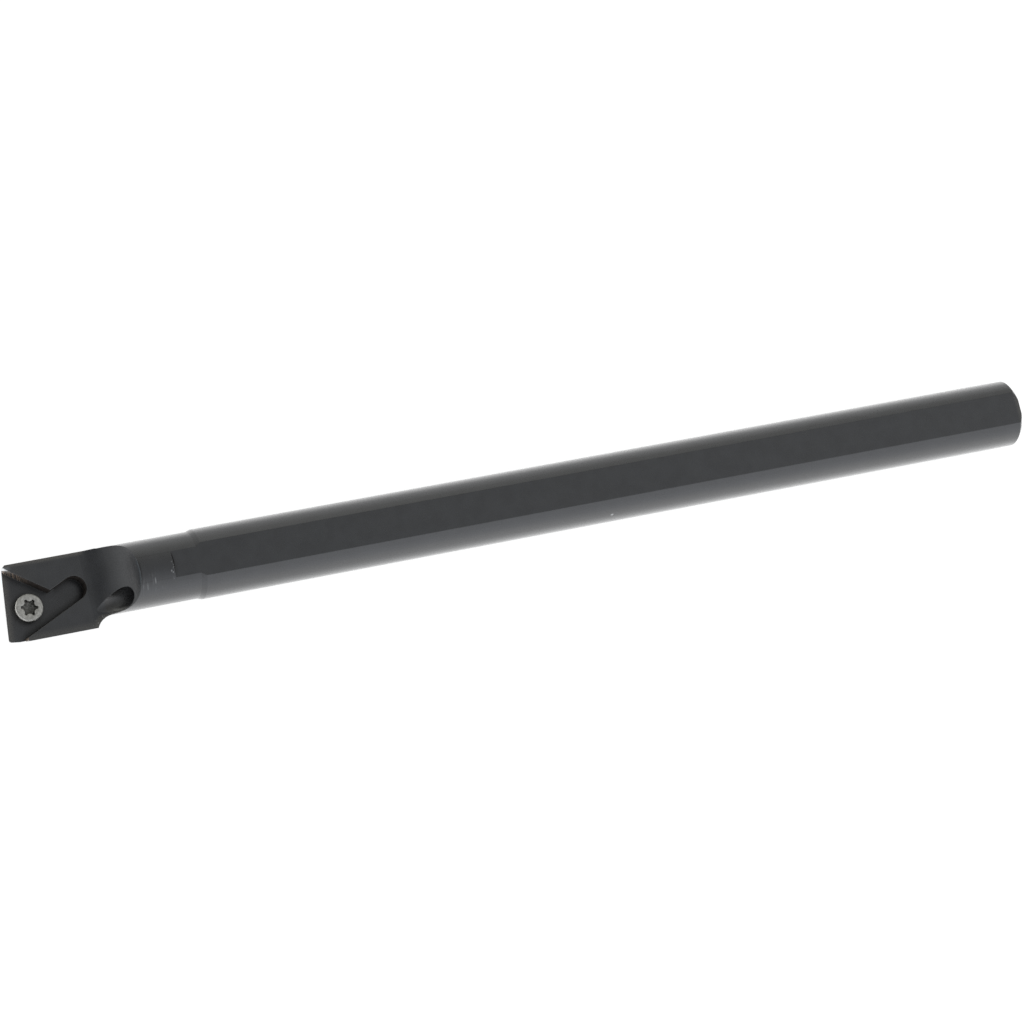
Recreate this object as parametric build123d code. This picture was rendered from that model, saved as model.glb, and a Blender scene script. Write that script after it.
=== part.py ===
from build123d import *
import os
from math import acos, atan2, cos, hypot, radians, sin, sqrt, tan

# A right-hand indexable boring bar, in millimetres. The origin is on the shank's axis at
# the rear end. X runs along the bar to the cutting head, Y points to the cutting side and
# Z points out of the clamping flat, so the cutting edge lies at z = 0, on centre height.

# Whole bar
overall_length = 152.4        # rear end to the tip of the insert that the seat is made for
tip_offset = 6.35             # axis to the insert's tip, square to the bar

# Shank and its clamping flat
shank_diameter = 9.525
rear_chamfer = 0.45
flat_height = 8.95            # far side of the shank to the flat
flat_setback = 22.8           # insert tip back to the milled end of the flat

# Turned neck
neck_diameter = 9.1
neck_length = 27.1            # insert tip back to the shoulder
shoulder_width = 0.7          # length of the cone from the shank down to the neck
neck_runout_radius = 2.38     # radius turned from the neck out to the head
neck_runout_setback = 14.4    # insert tip back to where that radius starts

# Milled head
head_back_radius = 4.62       # round back and underside, about the bar's axis
head_side = 5.93              # axis to the head's side, short of the insert's tip
side_relief_angle = 7.0       # the side leans in by this much below the face
side_relief_depth = 2.6       # centre height down to the end of the leaning side
heel_radius = 1.2             # round between the side and the relieved underside
face_drop = 0.3               # centre height down to the head's face
gullet_radius = 6.7           # chip gullet between the face and the neck
gullet_setback = 11.7         # insert tip back to where the gullet leaves the face
end_cutting_angle = 5.0       # front edge of the insert against square
front_angle = 6.0             # head's front against square
front_setback = 0.4           # insert's cutting corner back to the front, at the seat's floor
front_relief_angle = 11.0     # the front leans back downwards by this much
back_corner_chamfer = 0.46    # between the front and the round back
nose_relief_setback = 2.7     # insert tip back to the start of the relief under the nose
nose_relief_angle = 7.7
nose_chamfer = 0.25

# Triangular insert that the seat is cut for: 60 degree corners, 11 degree flanks
inscribed_circle = 6.35
nose_radius = 0.4
insert_thickness = 2.38

# Insert seat
corner_angle = 60.0
wall_draft = 3.0              # seat walls open upwards by this much
run_out_width = 3.175         # slot that clears the insert's rear corner
run_out_length = 1.0          # rear corner back to the end of the slot's straight side
land_facet_start = 9.85       # rear corner along the back wall to the facet at its end
land_facet_angle = 5.0        # facet against the wall, seen from above
land_facet_lean = 6.0         # facet's own draft

# Coolant supply
coolant_bore_diameter = 4.0
coolant_bore_setback = 25.0   # insert tip back to the end of the axial bore
coolant_bore_chamfer = 0.3
outlet_diameter = 2.8
outlet_angle = 12.0           # outlet's axis against the bar's, towards the cutting side
outlet_height = 1.15          # outlet's axis over centre height
outlet_offset = 2.65          # outlet's axis from the bar's, where it leaves the neck
outlet_setback = 16.9         # insert tip back to that point
drill_point_angle = 118.0

# Insert screw, M2.5 with a conical head and a six-lobe socket
screw_thread_diameter = 2.5
screw_head_diameter = 3.75
screw_head_rim = 0.4          # straight rim of the head
screw_cone_angle = 60.0
screw_length = 3.5            # over all
screw_rim_chamfer = 0.15
screw_tip_chamfer = 0.3
screw_pull_back = 0.28        # screw set back from the insert's centre, towards its corner
socket_diameter = 2.31        # across the lobes
socket_waist = 1.65           # across the hollows
socket_hollow_radius = 0.48
socket_lobe_fillet = 0.1
socket_turn = -10.0           # a lobe against the bar's axis, as the tightened screw stopped
socket_depth = 1.0
screw_hole_edge = 0.05        # conical edge of the screw's hole, where the head bears
screw_clearance = 0.05        # all round the screw

# Places worked out from the sizes above
shank_radius = shank_diameter / 2
neck_radius = neck_diameter / 2
face_z = -face_drop
floor_z = -insert_thickness
flat_z = flat_height - shank_radius
side_wall_angle = 90.0 - corner_angle - end_cutting_angle
back_wall_angle = side_wall_angle - corner_angle
reach = 4 * shank_diameter    # long enough to cut right through the head


def along(angle, length=1.0):
    """A step in the plan view, at an angle from the bar's axis."""
    return Vector(length * cos(radians(angle)), length * sin(radians(angle)), 0)


def insert_corners():
    """Sharp corners of the insert's outline: rear corner and cutting corner, then centre."""
    side = inscribed_circle * sqrt(3)
    bisector = side_wall_angle + corner_angle / 2
    nose_centre = Vector(overall_length - nose_radius, tip_offset - nose_radius, 0)
    cutting = nose_centre + along(bisector, nose_radius / sin(radians(corner_angle / 2)))
    rear = cutting - along(side_wall_angle, side)
    centre = cutting - along(bisector, side / sqrt(3))
    return rear, cutting, centre


rear_corner, cutting_corner, insert_centre = insert_corners()
screw_place = insert_centre - along(
    (side_wall_angle + back_wall_angle) / 2, screw_pull_back
)


def beyond(point, normal, low=None):
    """Everything on the far side of a plane, as a block to cut away, above a height."""
    block = extrude(Plane(point, z_dir=normal) * Rectangle(reach, reach), reach / 2)
    if low is not None:
        block &= Pos(point.X, point.Y, low + reach / 2) * Box(3 * reach, 3 * reach, reach)
    return block


def cylinder_from(start, direction, radius, length):
    """A cylinder that starts at a point and runs along a direction."""
    return extrude(Plane(start, z_dir=direction) * Circle(radius), length)


def turned_blank():
    """Shank, shoulder and neck, turned in one setting about the bar's axis."""
    shoulder_x = overall_length - neck_length
    neck_end = overall_length - neck_runout_setback
    outline = Polyline(
        (0, 0),
        (0, shank_radius - rear_chamfer),
        (rear_chamfer, shank_radius),
        (shoulder_x, shank_radius),
        (shoulder_x + shoulder_width, neck_radius),
        (neck_end, neck_radius),
        (neck_end, 0),
        close=True,
    )
    return revolve(make_face(outline), Axis.X)


def head_section():
    """Cross-section of the head: round back and underside, leaning side, relieved heel."""
    lean = tan(radians(side_relief_angle)) * (side_relief_depth - face_drop)
    heel_y, heel_z = head_side - lean, -side_relief_depth
    heel_reach = hypot(heel_y, heel_z)
    touch = atan2(heel_z, heel_y) - acos(head_back_radius / heel_reach)
    touch_y, touch_z = head_back_radius * cos(touch), head_back_radius * sin(touch)
    side_block = Polyline(
        (0, 0),
        (0, neck_radius),
        (head_side, neck_radius),
        (head_side, face_z),
        (heel_y, heel_z),
        (touch_y, touch_z),
        close=True,
    )
    block = make_face(side_block)
    heel = block.vertices().sort_by_distance((heel_y, heel_z, 0))[0]
    return fillet(heel, heel_radius) + Circle(head_back_radius)


def head_blank():
    """The head, with the radius turned from the neck out to it."""
    start = overall_length - neck_runout_setback
    length = neck_runout_setback + nose_radius
    prism = extrude(Plane(Vector(start, 0, 0), x_dir=(0, 1, 0), z_dir=(1, 0, 0)) * head_section(),
                    length)
    outer = neck_radius + neck_runout_radius
    top = JernArc((start, neck_radius), (1, 0), neck_runout_radius, 90)
    rest = Polyline(
        (start + neck_runout_radius, outer),
        (start + length, outer),
        (start + length, 0),
        (start, 0),
        (start, neck_radius),
    )
    turned = revolve(make_face([top, rest]), Axis.X)
    return prism & turned


def flat_cut():
    """Metal milled off for the clamping flat, square at its front end."""
    length = overall_length - flat_setback
    return Pos(length / 2, 0, flat_z + shank_radius / 2) * Box(
        length, shank_diameter, shank_radius
    )


def face_and_gullet_cut():
    """Everything above the head's face, and the gullet that rises from it to the neck."""
    start = overall_length - gullet_setback
    above = Pos(start + reach / 2, 0, face_z + reach / 2) * Box(reach, reach, reach)
    roller = extrude(
        Plane(Vector(start, reach / 2, face_z + gullet_radius), z_dir=(0, -1, 0))
        * Circle(gullet_radius),
        reach,
    )
    return above + roller


def seat_cut():
    """Insert seat: two walls at the insert's corner angle and the end mill's run-out."""
    rise = reach / 4
    wall = 2 * inscribed_circle * sqrt(3)
    wedge = make_face(Polyline(
        (rear_corner.X, rear_corner.Y),
        tuple(rear_corner + along(side_wall_angle, wall))[:2],
        tuple(rear_corner + along(back_wall_angle, wall))[:2],
        close=True,
    ))
    radius = run_out_width / 2
    inward = along(side_wall_angle - 90.0, radius)
    slot_end = rear_corner - along(side_wall_angle, run_out_length) + inward
    slot_start = slot_end + along(side_wall_angle, inscribed_circle)
    centre = (slot_end + slot_start) / 2
    slot = Pos(centre.X, centre.Y) * Rot(0, 0, side_wall_angle) * SlotCenterToCenter(
        inscribed_circle, run_out_width
    )
    return extrude(Pos(0, 0, floor_z) * (wedge + slot), rise, taper=-wall_draft)


def front_x(y, z):
    """Where the front plane lies along the bar, at a place across it and a height."""
    edge = cutting_corner - along(-front_angle, front_setback)
    rise = (z - floor_z) * tan(radians(front_relief_angle))
    return edge.X + rise / cos(radians(front_angle)) + (y - edge.Y) * tan(radians(front_angle))


def front_cuts():
    """The leaning front of the head, and the chamfer between it and the round back."""
    lean = radians(front_relief_angle)
    front = beyond(
        Vector(front_x(0, floor_z), 0, floor_z),
        along(-front_angle, cos(lean)) - Vector(0, 0, sin(lean)),
    )
    corner_x = front_x(-head_back_radius, face_z) - back_corner_chamfer
    return front, beyond(Vector(corner_x, -head_back_radius, 0), along(-45.0))


def land_cuts():
    """Ends dressed on the two thin lands that stand over the seat's floor."""
    back_half = Pos(overall_length, -reach / 2, 0) * Box(reach, reach, reach)
    side_half = Pos(overall_length, reach / 2, 0) * Box(reach, reach, reach)
    draft = (face_z - floor_z) * tan(radians(wall_draft))
    on_edge = (
        rear_corner
        + along(back_wall_angle, land_facet_start)
        + along(back_wall_angle - 90.0, draft)
    )
    lean = radians(land_facet_lean)
    facet = beyond(
        Vector(on_edge.X, on_edge.Y, face_z),
        along(back_wall_angle + 90.0 - land_facet_angle, cos(lean)) + Vector(0, 0, sin(lean)),
        low=floor_z,
    )
    side_end = beyond(
        Vector(overall_length - nose_relief_setback, head_side, floor_z),
        along(0),
        low=floor_z,
    )
    return facet & back_half, side_end & side_half


def nose_cuts():
    """Relief of the side under the insert's nose, and its broken corner."""
    lean = radians(side_relief_angle)
    drop = (insert_thickness - face_drop) * tan(lean)
    start = Vector(overall_length - nose_relief_setback, head_side - drop, floor_z)
    outward = along(90.0 - nose_relief_angle)
    relief = beyond(start, outward * cos(lean) - Vector(0, 0, sin(lean)))
    run = nose_relief_setback - front_setback
    corner = start + Vector(run, -run * tan(radians(nose_relief_angle)), 0)
    inset = along(-135.0, nose_chamfer)
    broken = beyond(corner + inset, along(45.0))
    return relief, broken


def coolant_cut():
    """Axial bore from the rear end, and the outlet drilled back to it from the gullet."""
    radius = coolant_bore_diameter / 2
    depth = overall_length - coolant_bore_setback
    point = radius / tan(radians(drill_point_angle / 2))
    outline = Polyline(
        (0, 0),
        (0, radius + coolant_bore_chamfer),
        (coolant_bore_chamfer, radius),
        (depth, radius),
        (depth + point, 0),
        close=True,
    )
    axial = revolve(make_face(outline), Axis.X)
    mouth = Vector(overall_length - outlet_setback, outlet_offset, outlet_height)
    back = outlet_offset / sin(radians(outlet_angle))
    outlet = cylinder_from(
        mouth - along(outlet_angle, back),
        along(outlet_angle),
        outlet_diameter / 2,
        back + gullet_setback,
    )
    return axial + outlet


def cone_height(wide, narrow):
    """Height of the screw's cone between two diameters."""
    return (wide - narrow) / 2 / tan(radians(screw_cone_angle / 2))


def screw_hole_cut():
    """The screw's hole through the head, with the conical edge that the screw bears on."""
    radius = screw_thread_diameter / 2 + screw_clearance
    mouth = radius + screw_hole_edge
    edge_depth = cone_height(2 * mouth, 2 * radius)
    outline = Polyline(
        (0, floor_z - reach / 4),
        (radius, floor_z - reach / 4),
        (radius, floor_z - edge_depth),
        (mouth, floor_z),
        (mouth, floor_z + insert_thickness),
        (0, floor_z + insert_thickness),
        close=True,
    )
    drill = revolve(make_face(Plane.XZ * outline), Axis.Z)
    return Pos(screw_place.X, screw_place.Y) * drill


def head_top_z():
    """Height of the screw's head when its cone bears on the hole's edge."""
    mouth = screw_thread_diameter + 2 * screw_clearance + 2 * screw_hole_edge
    gap = screw_clearance / sin(radians(screw_cone_angle / 2))
    return floor_z + cone_height(screw_head_diameter, mouth) + screw_head_rim + gap


def make_bar():
    """The one-piece steel bar."""
    bar = turned_blank() + head_blank()
    bar -= flat_cut()
    bar -= face_and_gullet_cut()
    bar -= seat_cut()
    for cut in (*front_cuts(), *land_cuts(), *nose_cuts()):
        bar -= cut
    bar -= coolant_cut()
    bar -= screw_hole_cut()
    return bar


def six_lobe():
    """Outline of the screw's six-lobe socket."""
    star = Circle(socket_diameter / 2)
    star -= PolarLocations(
        socket_waist / 2 + socket_hollow_radius, 6, start_angle=socket_turn + 30
    ) * Circle(socket_hollow_radius)
    return fillet(star.vertices(), socket_lobe_fillet)


def make_screw():
    """Insert screw: conical head, six-lobe socket and the thread's plain cylinder."""
    top = head_top_z()
    tip = top - screw_length
    head = screw_head_diameter / 2
    thread = screw_thread_diameter / 2
    cone_top = top - screw_head_rim
    cone_foot = cone_top - cone_height(screw_head_diameter, screw_thread_diameter)
    outline = Polyline(
        (0, tip),
        (thread - screw_tip_chamfer, tip),
        (thread, tip + screw_tip_chamfer),
        (thread, cone_foot),
        (head, cone_top),
        (head, top - screw_rim_chamfer),
        (head - screw_rim_chamfer, top),
        (0, top),
        close=True,
    )
    screw = revolve(make_face(Plane.XZ * outline), Axis.Z)
    screw -= extrude(Pos(0, 0, top - socket_depth) * six_lobe(), 2 * socket_depth)
    return Pos(screw_place.X, screw_place.Y) * screw


def main():
    """Writes one file for each piece."""
    os.makedirs("parts", exist_ok=True)
    for name, piece in (("bar", make_bar()), ("insert_screw", make_screw())):
        export_step(piece, f"parts/{name}.step")
        print(name, "volume", round(piece.volume, 1), "solids", len(piece.solids()))


main()
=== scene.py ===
# %% [markdown]
# # A boring bar with an empty insert seat
#
# A boring bar is a slim steel rod that a lathe pushes into a hole to turn it wider. This one
# is a round shank with a flat for the clamping screws, a slightly thinner neck, and a milled
# head with a seat for a small triangular insert. Only the insert's screw is in the seat.
#
# The solids come ready made, in metres, with X along the bar to its head, Y to the cutting
# side and Z out of the flat. The bar's own solid has the right shape, so it stays and gets a
# finish of shader nodes. The screw is made again with its thread, because a thread is a shape
# and the solid has only a plain cylinder for it.

import math

import bpy
import numpy as np
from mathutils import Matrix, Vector


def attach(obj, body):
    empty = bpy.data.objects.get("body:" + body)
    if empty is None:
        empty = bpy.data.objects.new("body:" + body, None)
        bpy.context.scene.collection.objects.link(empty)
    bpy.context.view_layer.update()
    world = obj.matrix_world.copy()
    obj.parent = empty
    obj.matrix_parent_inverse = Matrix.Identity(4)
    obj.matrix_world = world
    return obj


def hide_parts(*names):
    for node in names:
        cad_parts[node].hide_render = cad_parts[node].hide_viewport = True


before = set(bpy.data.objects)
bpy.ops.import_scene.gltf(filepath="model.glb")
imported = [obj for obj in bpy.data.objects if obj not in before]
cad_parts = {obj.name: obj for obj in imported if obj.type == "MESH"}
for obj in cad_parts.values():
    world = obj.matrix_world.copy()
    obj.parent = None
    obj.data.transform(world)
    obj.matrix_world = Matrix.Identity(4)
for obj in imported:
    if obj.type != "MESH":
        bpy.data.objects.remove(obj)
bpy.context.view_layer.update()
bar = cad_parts["bar"]
MM = 0.001
print("solids:", ", ".join(sorted(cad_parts)))

# %% [markdown]
# ## Camera
#
# The camera comes first, because every later choice is judged through it. It stands high over
# the head and looks down the bar with a long lens, so that the shank runs away to the right
# and grows only slightly smaller. A long lens needs a camera far off: here about half a metre
# for a bar of 15 cm. The angles are ordinary Euler angles, turned about X, then Y, then Z.

# %% Camera
CAMERA_PLACE = (0.261434, 0.065134, 0.469243)
CAMERA_TURN = (0.211739, -0.330618, 2.895722)
LENS_MM, SENSOR_MM = 128.617, 36.0

camera_data = bpy.data.cameras.new("camera")
camera_data.sensor_width = SENSOR_MM
camera_data.lens = LENS_MM
camera_data.clip_start = 10 * MM
camera = bpy.data.objects.new("camera", camera_data)
camera.location = CAMERA_PLACE
camera.rotation_euler = CAMERA_TURN
bpy.context.scene.collection.objects.link(camera)
bpy.context.scene.camera = camera
print("camera lens", LENS_MM, "mm")

# %% [markdown]
# ## Helpers for shader nodes
#
# A material in Blender is a graph of nodes. Made node by node in a script it is hard to read,
# so a few helpers do what repeats: put a node down, feed a socket with a link or a value, and
# do one step of arithmetic. With them a material reads like ordinary sums. Much of the script
# works with masks: a mask is a number from 0 to 1 at each point of a surface.

# %% Helpers that put nodes down
def put(tree, kind, **settings):
    """Adds a node and sets its plain properties, such as an operation."""
    node = tree.nodes.new(kind)
    for name, value in settings.items():
        setattr(node, name, value)
    return node


def feed(tree, socket, value):
    """Links another node's socket into this one, or writes a plain value on it."""
    if isinstance(value, bpy.types.NodeSocket):
        tree.links.new(value, socket)
    else:
        socket.default_value = value


def calc(tree, operation, *values):
    """One Math node on sockets or numbers."""
    node = put(tree, "ShaderNodeMath", operation=operation)
    for socket, value in zip(node.inputs, values):
        feed(tree, socket, value)
    return node.outputs[0]


def vector_calc(tree, operation, *values, out="Vector"):
    """One Vector Math node on sockets or triples."""
    node = put(tree, "ShaderNodeVectorMath", operation=operation)
    for socket, value in zip(node.inputs, values):
        feed(tree, socket, value)
    return node.outputs[out]


def split(tree, vector):
    """X, Y and Z of a vector."""
    node = put(tree, "ShaderNodeSeparateXYZ")
    feed(tree, node.inputs[0], vector)
    return tuple(node.outputs)


print("node helpers ready")

# %% Helpers that change and mix values
def ramp(tree, value, low, high, to_low=0.0, to_high=1.0, smooth=True):
    """Carries a value from one range to another, held at both ends."""
    kind = "SMOOTHSTEP" if smooth else "LINEAR"
    node = put(tree, "ShaderNodeMapRange", interpolation_type=kind)
    names = ("Value", "From Min", "From Max", "To Min", "To Max")
    for name, number in zip(names, (value, low, high, to_low, to_high)):
        feed(tree, node.inputs[name], number)
    return node.outputs["Result"]


def blend_colour(tree, factor, first, second):
    """Mixes two colours by a factor."""
    node = put(tree, "ShaderNodeMix", data_type="RGBA")
    for index, value in zip((0, 6, 7), (factor, first, second)):
        feed(tree, node.inputs[index], value)
    return node.outputs[2]


def blend_number(tree, factor, first, second):
    """Mixes two numbers by a factor."""
    node = put(tree, "ShaderNodeMix", data_type="FLOAT")
    for index, value in zip((0, 2, 3), (factor, first, second)):
        feed(tree, node.inputs[index], value)
    return node.outputs[0]


def both(tree, *masks):
    """All masks multiplied together. A plain number among them sets their strength."""
    result = masks[0]
    for mask in masks[1:]:
        result = calc(tree, "MULTIPLY", result, mask)
    return result


def rgb(red, green, blue):
    """An opaque colour."""
    return (red, green, blue, 1.0)


def grey(value):
    """An opaque grey."""
    return rgb(value, value, value)


print("mixing helpers ready")

# %% [markdown]
# ## Floor
#
# Dark, half glossy steel shows mostly what stands round it: at a steep angle it mirrors a
# small share of it, and towards its outline nearly all. So floor and room are part of the
# finish, and a white floor turns the outline of the bar white.
#
# The floor could be lit until it is white, but then the bar would be too bright. Instead its
# material adds light of its own where a camera ray or a mirror ray meets it, and its colour
# still takes the bar's shadow. For mirror rays the floor is brightest beside the bar and
# dimmer further off, which draws the soft bands along the shank. From below the floor is
# clear, so that a camera under it sees the bar.

# %% Floor plate
SHANK_RADIUS = 4.7625
FLOOR_Z = -SHANK_RADIUS * MM
FLOOR_HALF = 3.0
CORNERS = ((-1, -1), (1, -1), (1, 1), (-1, 1))

floor_mesh = bpy.data.meshes.new("floor")
floor_mesh.from_pydata(
    [(x * FLOOR_HALF, y * FLOOR_HALF, FLOOR_Z) for x, y in CORNERS], [], [(0, 1, 2, 3)]
)
floor = bpy.data.objects.new("floor", floor_mesh)
bpy.context.scene.collection.objects.link(floor)
print("floor at", FLOOR_Z, "m")

# %% Floor's own light
SEEN_LIGHT = 0.86         # what the camera sees
MIRRORED_LIGHT = 2.0      # what the steel mirrors from beside the bar
# Share of the mirrored light that is left further off, and the metres over which it falls
BEHIND_BAR, BEHIND_FADE = 0.33, (-0.026, -0.005)
BEFORE_BAR, BEFORE_FADE = 0.60, (0.003, 0.020)
PAST_HEAD, PAST_HEAD_FADE = 0.36, (0.148, 0.190)
BESIDE_NECK, BESIDE_NECK_FADE = 0.88, (0.060, 0.130)


def floor_light(tree):
    """Strength of the floor's own light, by the kind of ray and the place on the floor."""
    x, y, _ = split(tree, put(tree, "ShaderNodeTexCoord").outputs["Object"])
    mirrored = both(
        tree,
        ramp(tree, y, *BEHIND_FADE, BEHIND_BAR, 1.0),
        ramp(tree, y, *BEFORE_FADE, 1.0, BEFORE_BAR),
        ramp(tree, x, *PAST_HEAD_FADE, 1.0, PAST_HEAD),
        ramp(tree, x, *BESIDE_NECK_FADE, 1.0, BESIDE_NECK),
        MIRRORED_LIGHT,
    )
    path = put(tree, "ShaderNodeLightPath").outputs
    straight = calc(tree, "MAXIMUM", path["Is Camera Ray"], path["Is Transmission Ray"])
    seen = calc(tree, "MULTIPLY", SEEN_LIGHT, straight)
    return calc(tree, "MULTIPLY_ADD", path["Is Glossy Ray"], mirrored, seen)


print("floor light:", SEEN_LIGHT, "seen,", MIRRORED_LIGHT, "mirrored beside the bar")

# %% Floor material
floor_material = bpy.data.materials.new("white_floor")
floor_material.use_nodes = True
tree = floor_material.node_tree
shader = tree.nodes["Principled BSDF"]
shader.inputs["Base Color"].default_value = grey(0.30)
shader.inputs["Roughness"].default_value = 0.9
shader.inputs["Specular IOR Level"].default_value = 0.0
shader.inputs["Emission Color"].default_value = grey(1.0)
feed(tree, shader.inputs["Emission Strength"], floor_light(tree))

from_below = put(tree, "ShaderNodeNewGeometry").outputs["Backfacing"]
clear = put(tree, "ShaderNodeBsdfTransparent")
either = put(tree, "ShaderNodeMixShader")
for socket, value in zip(either.inputs, (from_below, shader.outputs[0], clear.outputs[0])):
    feed(tree, socket, value)
feed(tree, tree.nodes["Material Output"].inputs["Surface"], either.outputs[0])

floor_material.cycles.emission_sampling = "NONE"
floor_mesh.materials.append(floor_material)
print("floor finish:", floor_material.name)

# %% [markdown]
# ## Room
#
# The world stands for the walls of a light tent. One even world would make the bar look like
# plastic, so in mirror rays the room has its own shape: it grows dimmer from the horizon up
# to a place over the head, which keeps the flat that faces the camera dark, and it is dimmer
# again behind the bar's back. For all other rays it is even, so that it lights the colours
# plainly, and for the camera it is white.
#
# All of it depends on a direction in the room, never on where the camera stands, so that the
# mirror images stay where they are when another view is taken.

# %% Room in mirror rays
DIM_SIDE = Vector((0.25, -0.13, 0.955)).normalized()   # towards the dimmest place
HORIZON, OVERHEAD = 1.16, 0.49    # brightness far from that place and close to it
CLOSE, FADE_POWER = 0.83, 1.3     # where the even fade ends, and how it is bent
DIP = 0.335                       # taken off right at that place
CUTTING_SIDE = 0.10               # added towards the cutting side
TAIL, TAIL_FADE = 0.06, (-0.39, -0.50)    # taken off towards the rear end
# Taken off on the bar's back side, where a fade pair says how far a ray has to turn there,
# and growing from low to high for rays towards the rear end
BACK_TURN = (-0.15, -0.95)
BACK_LOW, BACK_HIGH, BACK_FADE = 0.14, 0.43, (-0.25, -0.50)
TAIL_AT_BACK = 2.0


def mirrored_room(tree, direction):
    """Brightness of the room in a mirror ray, by the ray's direction."""
    towards_dim = vector_calc(tree, "DOT_PRODUCT", direction, tuple(DIM_SIDE), out="Value")
    lengthways, sideways, _ = split(tree, direction)
    near = ramp(tree, towards_dim, 0.0, CLOSE, smooth=False)
    near = calc(tree, "POWER", near, FADE_POWER)
    light = ramp(tree, near, 0.0, 1.0, HORIZON, OVERHEAD, smooth=False)
    light = calc(tree, "SUBTRACT", light, ramp(tree, towards_dim, CLOSE, 1.0, 0.0, DIP))
    light = calc(tree, "MULTIPLY_ADD", sideways, CUTTING_SIDE, light)
    tail = ramp(tree, lengthways, *TAIL_FADE, 0.0, TAIL, smooth=False)
    light = calc(tree, "SUBTRACT", light, tail)
    back = ramp(tree, lengthways, *BACK_FADE, BACK_LOW, BACK_HIGH, smooth=False)
    back = calc(tree, "MULTIPLY_ADD", tail, TAIL_AT_BACK, back)
    back = ramp(tree, sideways, *BACK_TURN, 0.0, back, smooth=False)
    return calc(tree, "SUBTRACT", light, back)


print("room from", OVERHEAD, "overhead to", HORIZON, "at the horizon")

# %% World
EVEN_LIGHT = 0.62
WARM, COOL, TINT_FADE = rgb(1.0, 1.0, 0.965), rgb(0.970, 0.990, 1.030), (-0.7, 0.3)

world = bpy.data.worlds.new("studio")
world.use_nodes = True
world.cycles.sampling_method = "NONE"
bpy.context.scene.world = world
bpy.context.scene.view_settings.view_transform = "Standard"

tree = world.node_tree
background = tree.nodes["Background"]
direction = put(tree, "ShaderNodeTexCoord").outputs["Generated"]
path = put(tree, "ShaderNodeLightPath").outputs
strength = blend_number(tree, path["Is Glossy Ray"], EVEN_LIGHT, mirrored_room(tree, direction))
strength = blend_number(tree, path["Is Camera Ray"], strength, 1.0)
feed(tree, background.inputs["Strength"], strength)

side = ramp(tree, split(tree, direction)[1], *TINT_FADE)
tint = blend_colour(tree, side, WARM, COOL)
tint = blend_colour(tree, path["Is Camera Ray"], tint, grey(1.0))
feed(tree, background.inputs["Color"], tint)
print("world:", world.name)

# %% [markdown]
# ## Lamps
#
# Two large soft panels stand along the bar, one on each side, as in a light tent. They light
# the colours of the steel and give the shadow a direction. They don't show in the steel as
# mirror images, because the smooth change from dark to light comes from the room alone.

# %% Lamps
PANEL_WIDTH, PANEL_HEIGHT = 1.2, 0.8
PANEL_AIM = Vector((0.08, 0.0, 0.0))


def soft_panel(name, place, radiance, colour):
    """A rectangular lamp that faces the bar. Its power is worked out from how bright it looks."""
    data = bpy.data.lights.new(name, "AREA")
    data.shape = "RECTANGLE"
    data.size, data.size_y = PANEL_WIDTH, PANEL_HEIGHT
    data.energy = radiance * math.pi * PANEL_WIDTH * PANEL_HEIGHT
    data.color = colour
    lamp = bpy.data.objects.new(name, data)
    lamp.location = place
    lamp.rotation_euler = (PANEL_AIM - Vector(place)).to_track_quat("-Z", "Y").to_euler()
    lamp.visible_glossy = False
    bpy.context.scene.collection.objects.link(lamp)
    return lamp


cutting_side_panel = soft_panel("cutting_side_panel", (0.10, 0.70, 0.70), 1.0, (0.97, 0.99, 1.0))
back_side_panel = soft_panel("back_side_panel", (0.06, -0.80, 0.60), 0.6, (1.0, 0.99, 0.96))
print("lamps:", cutting_side_panel.name, "and", back_side_panel.name)

# %% [markdown]
# ## Effects that both finishes use
#
# Steel that has been handled has the same few marks everywhere: edges rubbed bare, the fine
# scratches of the tool that cut it, uneven tone and specks. Shade is painted into its corners
# as well. Each of these is a node group, built once, and each material places it with values
# of its own. The groups work in millimetres in the object's own space, so the marks stay on
# the surface whatever the camera does.

# %% Helpers for node groups
FLOAT, VECTOR = "NodeSocketFloat", "NodeSocketVector"


def new_group(name, inputs, outputs):
    """An empty node group with the named sockets. Returns the group and its two end nodes."""
    group = bpy.data.node_groups.new(name, "ShaderNodeTree")
    for label, kind, value in inputs:
        socket = group.interface.new_socket(label, in_out="INPUT", socket_type=kind)
        if value is not None:
            socket.default_value = value
    for label, kind in outputs:
        group.interface.new_socket(label, in_out="OUTPUT", socket_type=kind)
    return group, put(group, "NodeGroupInput"), put(group, "NodeGroupOutput")


def use_group(tree, group, **values):
    """Places a group in a material. Spaces in a socket's name are written as underscores."""
    node = put(tree, "ShaderNodeGroup", node_tree=group)
    for label, value in values.items():
        feed(tree, node.inputs[label.replace("_", " ")], value)
    return node.outputs


def noise(tree, place, scale, detail, roughness=0.5):
    """Cloudy noise, from about 0 to 1."""
    node = put(tree, "ShaderNodeTexNoise")
    names = ("Vector", "Scale", "Detail", "Roughness")
    for name, value in zip(names, (place, scale, detail, roughness)):
        feed(tree, node.inputs[name], value)
    return node.outputs["Fac"]


print("group helpers ready")

# %% Group: place in millimetres
def build_place():
    """Where a point lies, in millimetres, and which way its surface faces."""
    group, _, end = new_group("place_in_mm", [], [("Place", VECTOR), ("Facing", VECTOR)])
    coordinates = put(group, "ShaderNodeTexCoord").outputs
    in_mm = vector_calc(group, "MULTIPLY", coordinates["Object"], (1 / MM, 1 / MM, 1 / MM))
    feed(group, end.inputs["Place"], in_mm)
    feed(group, end.inputs["Facing"], coordinates["Normal"])
    return group


place_in_mm = build_place()
print("group:", place_in_mm.name)

# %% Group: worn edges
RUBBED_FULLY = 0.72                # noise over which an edge is worn all the way
OPEN_CORNER = (0.75, 0.95)         # open space round a point that makes it an outer edge
CORNER_REACH = 0.4 * MM


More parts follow.
